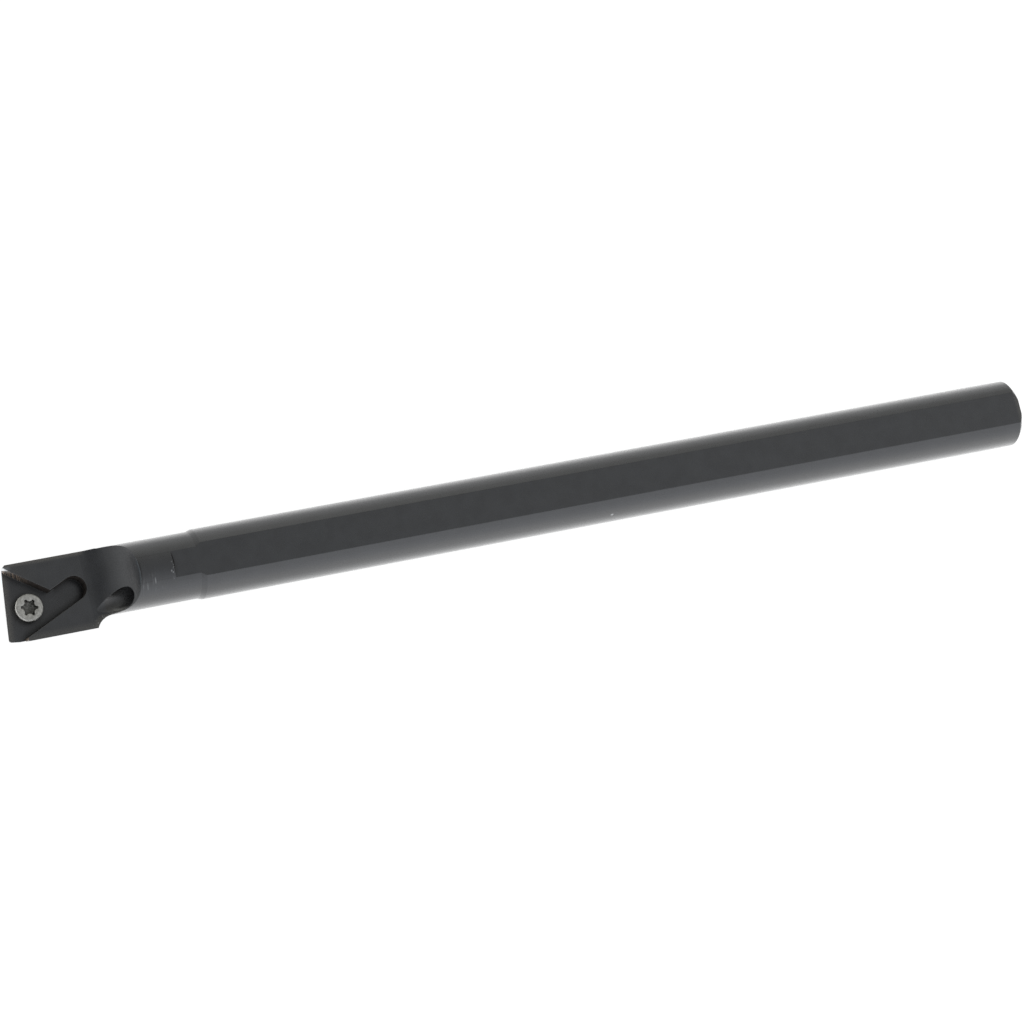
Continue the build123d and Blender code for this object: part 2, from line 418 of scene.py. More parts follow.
def build_worn_edges():
    """Bare metal along outer edges: where a rounded surface would face another way."""
    group, start, end = new_group(
        "worn_edges",
        [("Place", VECTOR, None), ("Radius", FLOAT, 0.08 * MM), ("Lowest", FLOAT, 0.01),
         ("Highest", FLOAT, 0.12), ("Patch Scale", FLOAT, 1.5), ("Patch Amount", FLOAT, 0.5)],
        [("Mask", FLOAT)],
    )
    given = start.outputs
    rounded = put(group, "ShaderNodeBevel", samples=6)
    feed(group, rounded.inputs["Radius"], given["Radius"])
    true_normal = put(group, "ShaderNodeNewGeometry").outputs["Normal"]
    agree = vector_calc(group, "DOT_PRODUCT", rounded.outputs[0], true_normal, out="Value")
    edge = ramp(group, calc(group, "SUBTRACT", 1.0, agree), given["Lowest"], given["Highest"])
    patch = noise(group, given["Place"], given["Patch Scale"], 4.0)
    rubbed = ramp(group, patch, given["Patch Amount"], RUBBED_FULLY)
    corner = put(group, "ShaderNodeAmbientOcclusion", samples=4, only_local=True)
    corner.inputs["Distance"].default_value = CORNER_REACH
    outer = ramp(group, corner.outputs["AO"], *OPEN_CORNER)
    feed(group, end.inputs["Mask"], both(group, edge, rubbed, outer))
    return group


worn_edges = build_worn_edges()
print("group:", worn_edges.name)

# %% Group: tool marks
def build_tool_marks():
    """Fine lines left by a cutting or grinding tool, drawn out along one direction."""
    group, start, end = new_group(
        "tool_marks",
        [("Place", VECTOR, None), ("Stretch", VECTOR, (6.0, 0.3, 0.3)),
         ("Roughness", FLOAT, 0.6)],
        [("Height", FLOAT), ("Streak", FLOAT)],
    )
    drawn = vector_calc(group, "MULTIPLY", start.outputs["Place"], start.outputs["Stretch"])
    lines = noise(group, drawn, 1.0, 5.0, start.outputs["Roughness"])
    feed(group, end.inputs["Height"], lines)
    feed(group, end.inputs["Streak"], ramp(group, lines, 0.52, 0.72))
    return group


tool_marks = build_tool_marks()
print("group:", tool_marks.name)

# %% Group: mottle
def build_mottle():
    """Slow change of tone over a surface, from 0 to 1."""
    group, start, end = new_group(
        "mottle", [("Place", VECTOR, None), ("Scale", FLOAT, 0.6)], [("Value", FLOAT)]
    )
    cloud = noise(group, start.outputs["Place"], start.outputs["Scale"], 6.0, 0.6)
    feed(group, end.inputs["Value"], ramp(group, cloud, 0.3, 0.7))
    return group


mottle = build_mottle()
print("group:", mottle.name)

# %% Group: specks
def build_specks():
    """Tiny separate spots: a cell counts where its own random number is low enough."""
    group, start, end = new_group(
        "specks",
        [("Place", VECTOR, None), ("Scale", FLOAT, 3.0), ("Share", FLOAT, 0.05),
         ("Size", FLOAT, 0.25)],
        [("Mask", FLOAT)],
    )
    cells = put(group, "ShaderNodeTexVoronoi")
    feed(group, cells.inputs["Vector"], start.outputs["Place"])
    feed(group, cells.inputs["Scale"], start.outputs["Scale"])
    chance = split(group, cells.outputs["Color"])[0]
    chosen = calc(group, "LESS_THAN", chance, start.outputs["Share"])
    near = ramp(group, cells.outputs["Distance"], start.outputs["Size"], 0.0)
    feed(group, end.inputs["Mask"], both(group, chosen, near))
    return group


specks = build_specks()
print("group:", specks.name)

# %% Group: painted shade in corners
SHUT_IN = 0.35      # share of open space at which a corner counts as shut in


def build_corner_shade():
    """Painted shade: how much of the open space over a point its neighbours take away, near by."""
    group, start, end = new_group(
        "corner_shade",
        [("Distance", FLOAT, 1.0 * MM), ("Strength", FLOAT, 1.0)],
        [("Mask", FLOAT)],
    )
    corner = put(group, "ShaderNodeAmbientOcclusion", samples=8, only_local=False)
    feed(group, corner.inputs["Distance"], start.outputs["Distance"])
    shut = ramp(group, corner.outputs["AO"], 1.0, SHUT_IN, smooth=False)
    feed(group, end.inputs["Mask"], both(group, shut, start.outputs["Strength"]))
    return group


corner_shade = build_corner_shade()
print("group:", corner_shade.name)

# %% Group: spot round a place
SOFT_SPOT = (1.0, 0.35)      # from the spot's outside to its full middle, as shares of its size


def build_near_place():
    """A soft spot round a chosen point: 1 at its centre, 0 outside its half size."""
    group, start, end = new_group(
        "near_place",
        [("Place", VECTOR, None), ("Centre", VECTOR, (0, 0, 0)), ("Half Size", VECTOR, (1, 1, 1))],
        [("Mask", FLOAT)],
    )
    offset = vector_calc(group, "SUBTRACT", start.outputs["Place"], start.outputs["Centre"])
    scaled = vector_calc(group, "DIVIDE", offset, start.outputs["Half Size"])
    distance = vector_calc(group, "LENGTH", scaled, out="Value")
    feed(group, end.inputs["Mask"], ramp(group, distance, *SOFT_SPOT))
    return group


near_place = build_near_place()
print("group:", near_place.name)

# %% [markdown]
# ## Zones of the bar
#
# The bar is one solid, but its surfaces were cut in different ways and wore differently. They
# could be given a material each, but then every border would be hard and follow the faces.
# Instead zones are found from where a point lies and which way its surface faces: the flat is
# what lies at the flat's height and faces up. Some zones are cylinders, such as the gullet,
# and are found by their distance from the cylinder's axis. A pair of numbers in a ramp says
# where a zone begins and where it is full. Sizes are in millimetres, and most follow from the
# bar's own: the places are counted back from the insert's tip.

# %% Helpers for zones
def between(tree, value, low, high, soft=0.02):
    """1 where a value lies between two numbers, with soft ends."""
    rise = ramp(tree, value, low - soft, low + soft)
    fall = ramp(tree, value, high - soft, high + soft, 1.0, 0.0)
    return both(tree, rise, fall)


def most(tree, *masks):
    """The strongest of several masks."""
    result = masks[0]
    for mask in masks[1:]:
        result = calc(tree, "MAXIMUM", result, mask)
    return result


def reach(tree, place, facing):
    """How far a place lies along a direction."""
    return vector_calc(tree, "DOT_PRODUCT", place, facing, out="Value")


def from_line(tree, place, point, keep, radius=0.0):
    """Distance from a cylinder about a line through a point. Keep is 0 along the line."""
    offset = vector_calc(tree, "SUBTRACT", place, point)
    offset = vector_calc(tree, "MULTIPLY", offset, keep)
    distance = vector_calc(tree, "LENGTH", offset, out="Value")
    return calc(tree, "SUBTRACT", distance, radius)


print("zone helpers ready")

# %% Measures on the bar
TIP_X = 152.4
NECK_RADIUS = 4.55
FACE_Z, SEAT_FLOOR_Z = -0.3, -2.38
FLAT_Z, FLAT_END_X = 8.95 - SHANK_RADIUS, TIP_X - 22.8
GULLET_RADIUS = 6.7
GULLET_AXIS = (TIP_X - 11.7, 0.0, FACE_Z + GULLET_RADIUS)
RUN_OUT_RADIUS = 2.38
RUN_OUT_AXIS = (TIP_X - 14.4, NECK_RADIUS + RUN_OUT_RADIUS, 0.0)
FRONT_CORNER_X, FRONT_CORNER_Y, FRONT_SLOPE = 151.87, 5.07, math.tan(math.radians(6.0))
BACK_WALL_FACING, BACK_WALL_REACH = (0.573, 0.818, 0.0), 83.22


def measure(tree, place, facing):
    """Coordinates and distances that the zones are cut from, by name."""
    x, y, z = split(tree, place)
    forward, aside, up = split(tree, facing)
    front_x = calc(tree, "MULTIPLY_ADD", calc(tree, "SUBTRACT", y, FRONT_CORNER_Y), FRONT_SLOPE,
                   FRONT_CORNER_X)
    wall = reach(tree, place, BACK_WALL_FACING)
    return {
        "x": x, "y": y, "z": z, "forward": forward, "aside": aside, "up": up,
        "from_front": calc(tree, "SUBTRACT", front_x, x),
        "from_back_wall": calc(tree, "SUBTRACT", wall, BACK_WALL_REACH),
        "from_run_out": from_line(tree, place, RUN_OUT_AXIS, (1.0, 1.0, 0.0), RUN_OUT_RADIUS),
        "from_gullet": from_line(tree, place, GULLET_AXIS, (1.0, 0.0, 1.0), GULLET_RADIUS),
        "from_axis": from_line(tree, place, (0.0, 0.0, 0.0), (0.0, 1.0, 1.0)),
    }


print("gullet's axis at", GULLET_AXIS)

# %% Zones: flat, face and outer edges
LEVEL_UP = (0.90, 0.97)                   # how squarely a surface has to face up
HEAD_X = (139.0, 139.3)
THICK = 0.03                              # half the height of the slice round a level surface
BOW_MIDDLE_Y, BOW_HALF, BOW = -0.45, 1.35, 0.27   # the flat's milled end is slightly bowed


def plain_zones(tree, at):
    """The level surfaces, and the edges of the head and the rear end."""
    level = ramp(tree, at["up"], *LEVEL_UP)
    offset = calc(tree, "DIVIDE", calc(tree, "SUBTRACT", at["y"], BOW_MIDDLE_Y), BOW_HALF)
    bow = calc(tree, "MULTIPLY_ADD", calc(tree, "MULTIPLY", offset, offset), BOW, -BOW)
    from_end = calc(tree, "ADD", calc(tree, "SUBTRACT", FLAT_END_X, at["x"]), bow)
    return {
        "level": level,
        "flat": both(tree, between(tree, at["z"], FLAT_Z - THICK, FLAT_Z + THICK), level),
        # Past the flat's bowed end: a dark crescent of painted shade goes here
        "flat_end": ramp(tree, from_end, 0.02, -0.04),
        "face": both(tree, between(tree, at["z"], FACE_Z - THICK, FACE_Z + THICK), level,
                     ramp(tree, at["x"], *HEAD_X)),
        "back_edge": ramp(tree, at["y"], -3.95, -4.50),
        "side_edge": ramp(tree, at["y"], 4.7, 5.75),
        "rear_end": ramp(tree, at["x"], 0.80, 0.15),
    }


print("flat at", FLAT_Z, "mm, face at", FACE_Z, "mm")

# %% Zones: insert seat
FACET_FACING, FACET_AGREES = (0.639, 0.762, 0.105), (0.9975, 0.9988)
WALL_UP = (0.02, 0.20)                    # the walls lean, so they face up a little
WALL_Z = (SEAT_FLOOR_Z + THICK, FACE_Z - 0.02)
BACK_WALL_X, LAND_END_X, LAND_END_Y = (144.5, 152.0), (149.6, 149.8), (4.9, 5.9)


def seat_zones(tree, at, facing):
    """Floor and walls of the seat, and the ends of the lands over it."""
    in_head = ramp(tree, at["x"], *HEAD_X)
    level = ramp(tree, at["up"], *LEVEL_UP)
    return {
        "seat_floor": both(
            tree, between(tree, at["z"], SEAT_FLOOR_Z - 0.05, SEAT_FLOOR_Z + THICK), level),
        "seat_wall": both(tree, between(tree, at["z"], *WALL_Z, 0.01),
                          between(tree, at["up"], *WALL_UP, 0.01), in_head),
        "facet": ramp(tree, reach(tree, facing, FACET_FACING), *FACET_AGREES),
        "near_back_wall": both(tree, ramp(tree, at["from_back_wall"], 1.8, 0.3),
                               between(tree, at["x"], *BACK_WALL_X, 0.3),
                               ramp(tree, at["y"], 0.6, 0.0),
                               ramp(tree, at["z"], FACE_Z - 0.02, FACE_Z - 0.06)),
        "land_end": both(tree, between(tree, at["x"], *LAND_END_X),
                         ramp(tree, at["forward"], 0.8, 0.9),
                         between(tree, at["y"], *LAND_END_Y, 0.1)),
        # tip: where a painted highlight goes on the head's rounded front corner
        "tip": both(tree, ramp(tree, at["from_front"], 1.1, 0.1),
                    ramp(tree, at["y"], -3.4, -4.1), ramp(tree, at["z"], -0.9, -0.5)),
    }


print("seat's walls from", WALL_Z[0], "to", WALL_Z[1], "mm")

# %% Zones: gullet and coolant outlet
RIM_X, RIM_Z, RIM_FORWARD = (133.0, 136.0), (2.0, 2.6), (0.87, 0.93)
EDGE_Y, SHADOW_X, SHADOW_Y = (-1.3, 1.7), (133.8, 134.8), (-1.2, 1.9)
OUTLET_X, OUTLET_Y = (133.0, 138.7), (0.4, 0.8)


def gullet_zones(tree, at):
    """The gullet's upper rim, the outlet drilled through its wall, and the run-out radius."""
    rim = both(tree, ramp(tree, at["forward"], *RIM_FORWARD), ramp(tree, at["z"], *RIM_Z),
               between(tree, at["x"], *RIM_X))
    outlet = both(tree, between(tree, at["x"], *OUTLET_X),
                  ramp(tree, at["from_gullet"], 0.04, 0.10), ramp(tree, at["y"], *OUTLET_Y),
                  ramp(tree, at["from_axis"], 4.50, 4.42))
    return {
        # Masks for painted highlights on the gullet's rim and edge, a painted shadow line, and the
        # outlet's painted shade, light and lit rim
        "gullet_rim": rim,
        "gullet_edge": both(tree, rim, ramp(tree, at["from_axis"], 4.20, 4.42),
                            between(tree, at["y"], *EDGE_Y, 0.5)),
        "rim_shadow": both(tree, between(tree, at["from_gullet"], 0.03, 0.20),
                           between(tree, at["x"], *SHADOW_X),
                           between(tree, at["y"], *SHADOW_Y, 0.4)),
        "outlet": outlet,
        "deep_outlet": ramp(tree, at["from_gullet"], 0.2, 1.6),
        "outlet_rim": both(tree, outlet, ramp(tree, at["from_axis"], 3.70, 4.20),
                           ramp(tree, at["aside"], -0.20, -0.50),
                           ramp(tree, at["x"], 138.2, 137.2)),
        "run_out": both(tree, ramp(tree, at["from_run_out"], 1.0, 0.15),
                        ramp(tree, at["y"], 4.1, 4.5),
                        ramp(tree, at["z"], FACE_Z - 0.6, FACE_Z - 0.1)),
    }


def bar_zones(tree, place, facing):
    """Masks of the bar's zones, by name, with the distance from its front."""
    at = measure(tree, place, facing)
    zones = {"from_front": at["from_front"]}
    zones.update(plain_zones(tree, at))
    zones.update(seat_zones(tree, at, facing))
    zones.update(gullet_zones(tree, at))
    return zones


print("outlet from", OUTLET_X[0], "to", OUTLET_X[1], "mm")

# %% [markdown]
# ## Wear of the bar
#
# Wear is what tells one bar from another. Bare metal shows where the dark layer was rubbed or
# dressed off: the facet at the end of the seat's back wall, short streaks round the neck,
# chips at the end of the flat and at the edge of the coolant outlet, a nick on the shank, and
# corners. Round them the layer is only rubbed thin. The back wall of the seat is scratched
# through to brown where inserts were pushed in.
#
# Each place is a soft spot round a point, and inside it streaks or specks decide what is
# bare. The masks only choose places, so any mark could be moved by one number.

# %% Bare metal
# Centre and half size of each spot, in millimetres
FACET_SPOT = (151.0, -3.9, -1.3), (2.2, 1.8, 1.8)
NECK_SPOT = (132.9, 2.4, 3.9), (2.4, 2.4, 2.0)
FIRST_STREAK = (133.52, 2.3, 3.9), (0.15, 0.8, 0.8)
SECOND_STREAK = (132.40, 1.7, 4.2), (0.12, 0.6, 0.7)
FLAT_END_SPOT = (129.85, 0.9, 4.45), (0.40, 1.7, 0.6)
OUTLET_BURR = (138.1, 1.95, 0.1), (0.55, 0.9, 0.5)
GULLET_SPOT = (134.4, 0.3, 3.9), (0.8, 3.4, 1.6)
SHANK_NICK = (65.7, 4.15, 2.3), (0.30, 0.25, 0.25)
CHAMFER_SPOT = (0.3, -2.4, 3.6), (0.5, 2.4, 1.8)


def spot(tree, place, centre, half_size):
    """A soft spot on the bar."""
    return use_group(tree, near_place, Place=place, Centre=centre, Half_Size=half_size)["Mask"]


def bare_metal(tree, place, zones):
    """Where the dark layer is gone. The number in each line is how bare the place is."""
    around = use_group(tree, tool_marks, Place=place, Stretch=(8.0, 0.6, 0.6))["Streak"]
    grains = use_group(tree, specks, Place=place, Scale=4.0, Share=0.40, Size=0.55)["Mask"]
    edges = use_group(tree, worn_edges, Place=place, Patch_Scale=1.2, Patch_Amount=0.30)["Mask"]
    return most(
        tree,
        both(tree, zones["facet"], spot(tree, place, *FACET_SPOT)),
        both(tree, around, spot(tree, place, *NECK_SPOT), 0.15),
        both(tree, spot(tree, place, *FIRST_STREAK), 0.13),
        both(tree, spot(tree, place, *SECOND_STREAK), 0.26),
        both(tree, grains, spot(tree, place, *FLAT_END_SPOT), 0.9),
        both(tree, grains, spot(tree, place, *OUTLET_BURR), 0.7),
        both(tree, grains, zones["run_out"], 0.4),
        both(tree, edges, spot(tree, place, *GULLET_SPOT), 0.2),
        both(tree, spot(tree, place, *SHANK_NICK), 0.6),
        both(tree, grains, spot(tree, place, *CHAMFER_SPOT), 0.6),
        both(tree, edges, 0.10),
    )


print("nick on the shank at", SHANK_NICK[0], "mm")

# %% Thin oxide, a painted edge highlight and wall scratches
BURR_GROOVE = (138.1, 2.4, -0.2), (1.0, 1.3, 0.8)
SCRATCHED = (150.0, -3.3, -1.5), (3.0, 2.6, 2.4)
ACROSS_SCRATCHES = (-0.78, 0.55, 0.30)     # square to the scratches on the wall
SCRATCHES_PER_MM = 4.5


def thin_oxide_and_edge_highlight(tree, place, zones):
    """Paler oxide: rubbed thin round the burr, at the rear end and on the run-out radius; a
    painted highlight along the face's back edge; and paler along the front of the seat floor, the
    front of the face and the face's side edge.
    """
    return most(
        tree,
        both(tree, zones["seat_floor"], ramp(tree, zones["from_front"], 1.2, -0.1)),
        both(tree, zones["face"], ramp(tree, zones["from_front"], 5.0, 0.0), 0.25),
        # Painted highlight: the face's back edge is paler, as a rounded edge would mirror the
        # white room
        both(tree, zones["face"], zones["back_edge"]),
        both(tree, zones["face"], zones["side_edge"], 0.55),
        both(tree, spot(tree, place, *BURR_GROOVE), 0.18),
        both(tree, zones["rear_end"], 0.7),
        zones["run_out"],
    )


def wall_scratches(tree, place, zones):
    """Slanting scratches on the seat's back wall, towards the nose of the head."""
    across = put(tree, "ShaderNodeCombineXYZ")
    feed(tree, across.inputs[0], reach(tree, place, ACROSS_SCRATCHES))
    lines = use_group(tree, tool_marks, Place=across.outputs[0], Roughness=0.7,
                      Stretch=(SCRATCHES_PER_MM, 1.0, 1.0))["Height"]
    return both(tree, ramp(tree, lines, 0.50, 0.60), zones["seat_wall"],
                spot(tree, place, *SCRATCHED))


print("scratches:", SCRATCHES_PER_MM, "to a millimetre")

# %% [markdown]
# ## Black oxide on the bar
#
# The bar is blackened in a hot bath, which leaves a thin dark layer that follows every tool
# mark. It could be shaded as metal with a dark colour, but then it would mirror the same
# share of the room at every angle. The layer behaves more like a polished dark stone: little
# at a steep angle and nearly all near the outline, so the finish is not metallic and gets a
# high refractive index instead.
#
# Bare steel is metallic. The paler tones inside the seat and the tones painted in the outlet
# are oxide and not metal, because metal in a hollow would mirror the hollow and stay dark.
# Some tones are painted light and shade: highlights on the gullet's rim and edge and on the
# head's front corner, a lit rim and shade and light inside the coolant outlet, and a shadow
# line over the gullet. Shade painted into corners and at the end of the flat is set to metal
# too, but nearly black, so that it loses its mirror image.

# %% Oxide colours
# A pair runs from the darkest to the palest tone
OXIDE = rgb(0.0140, 0.0150, 0.0170), rgb(0.0200, 0.0215, 0.0240)
SEAT_WALL = rgb(0.016, 0.011, 0.008), rgb(0.40, 0.30, 0.22)
# Painted shade and light inside the coolant outlet: darker near its mouth, paler deeper in
SHALLOW_BORE_SHADE = rgb(0.008, 0.008, 0.008), rgb(0.020, 0.019, 0.018)
DEEP_BORE_LIGHT = rgb(0.018, 0.019, 0.020), rgb(0.052, 0.053, 0.055)
# Paler oxide where the layer is rubbed thin, also used as a painted highlight on the face's back
# edge
THIN_OXIDE_AND_HIGHLIGHT = rgb(0.030, 0.029, 0.027), rgb(0.085, 0.080, 0.072)
# Painted highlights: paler, bluish tones on the gullet's upper rim and along its edge
GULLET_RIM_HIGHLIGHT, GULLET_EDGE_HIGHLIGHT = rgb(0.038, 0.040, 0.043), rgb(0.075, 0.088, 0.100)
# Painted light: a lit rim round the outlet, and a highlight on the head's front corner
OUTLET_RIM_LIGHT, HEAD_TIP_HIGHLIGHT = rgb(0.17, 0.17, 0.165), rgb(0.11, 0.12, 0.13)
LAND_END = rgb(0.15, 0.115, 0.085)
# A near-black colour for painted shade, and bare steel
PAINTED_SHADE, BARE_STEEL = rgb(0.009, 0.007, 0.006), rgb(0.56, 0.57, 0.58)


def oxide_colour(tree, place, zones, grain):
    """Colour of the dark layer, zone by zone, with painted highlights on the gullet and the head's
    front corner and painted shade and light in the outlet.
    """
    cloud = use_group(tree, mottle, Place=place, Scale=0.45)["Value"]
    bore = blend_colour(tree, zones["deep_outlet"], blend_colour(tree, grain, *SHALLOW_BORE_SHADE),
                        blend_colour(tree, grain, *DEEP_BORE_LIGHT))
    painted = (
        (zones["seat_wall"],
         blend_colour(tree, wall_scratches(tree, place, zones), *SEAT_WALL)),
        (zones["gullet_rim"], GULLET_RIM_HIGHLIGHT),
        (zones["gullet_edge"], GULLET_EDGE_HIGHLIGHT),
        (zones["outlet"], bore),
        (zones["outlet_rim"], OUTLET_RIM_LIGHT),
        (zones["tip"], HEAD_TIP_HIGHLIGHT),
        (zones["land_end"], LAND_END),
        (thin_oxide_and_edge_highlight(tree, place, zones), blend_colour(tree, grain, *THIN_OXIDE_AND_HIGHLIGHT)),
    )
    colour = blend_colour(tree, cloud, *OXIDE)
    for mask, paint in painted:
        colour = blend_colour(tree, mask, colour, paint)
    return colour


print("oxide colours ready")

# %% Painted shade and tool marks on the bar
# Painted shade: corners darkened by how shut in they are, a dark crescent at the flat's end and a
# shadow line over the gullet
ROUND_OUTLET = (137.4, 2.5, 0.8), (4.0, 3.0, 3.0)
CORNER_SHADE_STRENGTH, CORNER_SHADE_REACH = 0.68, 1.0 * MM
# Share of the painted corner shade that is left round the outlet, inside it and near the seat's
# back wall
LEFT_ROUND_OUTLET, LEFT_IN_OUTLET, LEFT_AT_BACK_WALL = 0.35, 0.10, 0.30
FLAT_END_SHADE, RIM_SHADOW_DARK = 0.75, 0.30
# Lines for each millimetre along X, Y and Z
TURNED, GROUND, MILLED = (9.0, 0.35, 0.35), (0.12, 5.0, 5.0), (2.2, 1.1, 2.0)
MARK_STRENGTH, MARK_DEPTH, EDGE_RADIUS = 0.30, 0.02 * MM, 0.12 * MM


def bar_painted_shade(tree, place, zones):
    """Painted shade: corners darkened by how shut in they are, a dark crescent at the end of the
    flat, and the shadow line over the gullet.
    """
    corners = use_group(tree, corner_shade, Distance=CORNER_SHADE_REACH, Strength=CORNER_SHADE_STRENGTH)["Mask"]
    corners = both(
        tree, corners,
        ramp(tree, spot(tree, place, *ROUND_OUTLET), 0.0, 1.0, 1.0, LEFT_ROUND_OUTLET),
        ramp(tree, zones["outlet"], 0.0, 1.0, 1.0, LEFT_IN_OUTLET),
        ramp(tree, zones["near_back_wall"], 0.0, 1.0, 1.0, LEFT_AT_BACK_WALL),
    )
    return most(tree, corners, both(tree, zones["flat"], zones["flat_end"], FLAT_END_SHADE),
                both(tree, zones["rim_shadow"], RIM_SHADOW_DARK))


def bar_normal(tree, place, zones):
    """Rings on turned surfaces, lines on the flat, swirls on milled ones, and soft edges."""
    rings = use_group(tree, tool_marks, Place=place, Stretch=TURNED)["Height"]
    lines = use_group(tree, tool_marks, Place=place, Stretch=GROUND)["Height"]
    swirls = use_group(tree, tool_marks, Place=place, Stretch=MILLED, Roughness=0.7)["Height"]
    height = blend_number(tree, zones["level"], rings, swirls)
    height = blend_number(tree, zones["flat"], height, lines)
    soft_edge = put(tree, "ShaderNodeBevel", samples=6)
    soft_edge.inputs["Radius"].default_value = EDGE_RADIUS
    bump = put(tree, "ShaderNodeBump")
    names = ("Strength", "Distance", "Height", "Normal")
    for name, value in zip(names, (MARK_STRENGTH, MARK_DEPTH, height, soft_edge.outputs[0])):
        feed(tree, bump.inputs[name], value)
    return bump.outputs["Normal"]


print("dirt and tool marks ready")

# %% Black oxide material
OXIDE_IOR = 1.8
OXIDE_ROUGHNESS, WALL_ROUGHNESS = (0.27, 0.36), 0.5


def new_material(name, ior):
    """A material with one refractive index. Returns it with its node tree and shader."""
    material = bpy.data.materials.new(name)
    material.use_nodes = True
    shader = material.node_tree.nodes["Principled BSDF"]
    shader.inputs["IOR"].default_value = ior
    return material, material.node_tree, shader.inputs


def black_oxide():
    """The bar's finish: dark layer, bare steel, painted shade and tool marks put together."""
    material, tree, shader = new_material("black_oxide_steel", OXIDE_IOR)
    here = use_group(tree, place_in_mm)
    place = here["Place"]
    zones = bar_zones(tree, place, here["Facing"])
    grain = use_group(tree, mottle, Place=place, Scale=7.0)["Value"]
    bare = bare_metal(tree, place, zones)
    dark = bar_painted_shade(tree, place, zones)

    # Painted shade is blended in as a near-black colour and made metallic like bare steel, so it
    # loses its mirror image
    colour = blend_colour(tree, dark, oxide_colour(tree, place, zones, grain), PAINTED_SHADE)
    colour = blend_colour(tree, bare, colour, BARE_STEEL)
    feed(tree, shader["Base Color"], colour)
    feed(tree, shader["Metallic"], most(tree, bare, dark))
    rough = ramp(tree, grain, 0.0, 1.0, *OXIDE_ROUGHNESS)
    rough = blend_number(tree, zones["seat_wall"], rough, WALL_ROUGHNESS)
    feed(tree, shader["Roughness"], rough)
    feed(tree, shader["Normal"], bar_normal(tree, place, zones))
    return material


bar.material_slots[0].material = black_oxide()
print("bar finish:", bar.material_slots[0].material.name)

# %% [markdown]
# ## Insert screw
#
# The screw is M2.5 with a conical head and a six-lobe socket. It could be cut from a cylinder
# with Booleans, but the edges would then be hard to control. Every level of a screw is a ring
# round one axis, so it is made as a stack of rings instead: tip, thread, cone, rim, top,
# socket wall, socket floor. On the thread the radius follows a helix, and in the socket it
# follows the six lobes. The same angles serve every ring, so the rings join into one skin.
#
# The screw stands a little off the middle of the insert's triangle, towards its inner corner,
# so that its cone pulls the insert home. That place follows from the insert's own sizes.

# %% Screw sizes
TIP_Y, INSERT_CIRCLE, NOSE_RADIUS = 6.35, 6.35, 0.4
CORNER_ANGLE, END_ANGLE, PULL_BACK = 60.0, 5.0, 0.28
SCREW_TOP, SCREW_LENGTH = -0.97067, 3.5
HEAD_RADIUS, HEAD_RIM, RIM_CHAMFER = 1.875, 0.4, 0.15
CONE_SLOPE, CONE_FOOT_RADIUS = math.tan(math.radians(30)), 1.08
THREAD_MAJOR, THREAD_MINOR, PITCH = 1.25, 1.0, 0.45
LOBE_RADIUS, WAIST_RADIUS, HOLLOW_RADIUS, LOBE_FILLET = 1.155, 0.825, 0.48, 0.035
SOCKET_TURN, SOCKET_DEPTH = math.radians(-10), 1.0


def plan_step(angle, length):
    """A step seen from above, at an angle from the bar's axis."""
    return length * np.array([math.cos(math.radians(angle)), math.sin(math.radians(angle))])


nose_centre = np.array([TIP_X - NOSE_RADIUS, TIP_Y - NOSE_RADIUS])
towards_nose = 90.0 - END_ANGLE - CORNER_ANGLE / 2
insert_centre = nose_centre - plan_step(towards_nose, INSERT_CIRCLE - 2 * NOSE_RADIUS)
SCREW_X, SCREW_Y = insert_centre - plan_step(-END_ANGLE, PULL_BACK)
print("screw at", round(SCREW_X, 3), round(SCREW_Y, 3), "mm")

# %% Socket and thread
RING_POINTS, FINE_POINTS = 192, 2881
RIDGE_GAIN, ROOT_WIDTH, THREAD_FADE = 1.25, 0.12, 0.25


def lobe_radius(angle):
    """Distance from the axis to the socket's outline, with its corners rounded."""
    far = WAIST_RADIUS + HOLLOW_RADIUS
    turn = (angle - SOCKET_TURN) % (math.pi / 3) - math.pi / 6
    across = far * math.sin(turn)
    if abs(across) >= HOLLOW_RADIUS:
        hollow = far
    else:
        hollow = far * math.cos(turn) - math.sqrt(HOLLOW_RADIUS**2 - across**2)
    gap = max(LOBE_FILLET - abs(hollow - LOBE_RADIUS), 0.0) / LOBE_FILLET
    return min(hollow, LOBE_RADIUS) - gap * gap * LOBE_FILLET / 4


def ring_angles(count):
    """Angles round the screw, closer together where the lobes' walls are steep."""
    fine = np.linspace(0, 2 * math.pi, FINE_POINTS)
    radius = np.array([lobe_radius(a) for a in fine])
    step = np.hypot(np.diff(radius), LOBE_RADIUS * np.diff(fine))
    walked = np.concatenate([[0], np.cumsum(step)])
    return np.interp(np.linspace(0, walked[-1], count, endpoint=False), walked, fine)


def thread_radius(angle, height, low, high):
    """Radius on the thread: a rounded V that fades out at both ends."""
    phase = (height / PITCH - angle / (2 * math.pi)) % 1.0
    ridge = min(max(RIDGE_GAIN * (1 - abs(2 * phase - 1)) - ROOT_WIDTH, 0.0), 1.0)
    to_end = max(min(height - low, high - height), 0.0)
    fade = min(to_end / THREAD_FADE, 1.0)
    return THREAD_MINOR + (THREAD_MAJOR - THREAD_MINOR) * ridge * fade


angles = ring_angles(RING_POINTS)
print("points in a ring:", len(angles))

# %% Rings of the screw
SMALLEST, TIP_EDGE, THREAD_STEPS = 0.01, 0.86, 14


def round_rings(profile):
    """A full circle for each radius and height."""
    return [[(radius, a, height) for a in angles] for radius, height in profile]


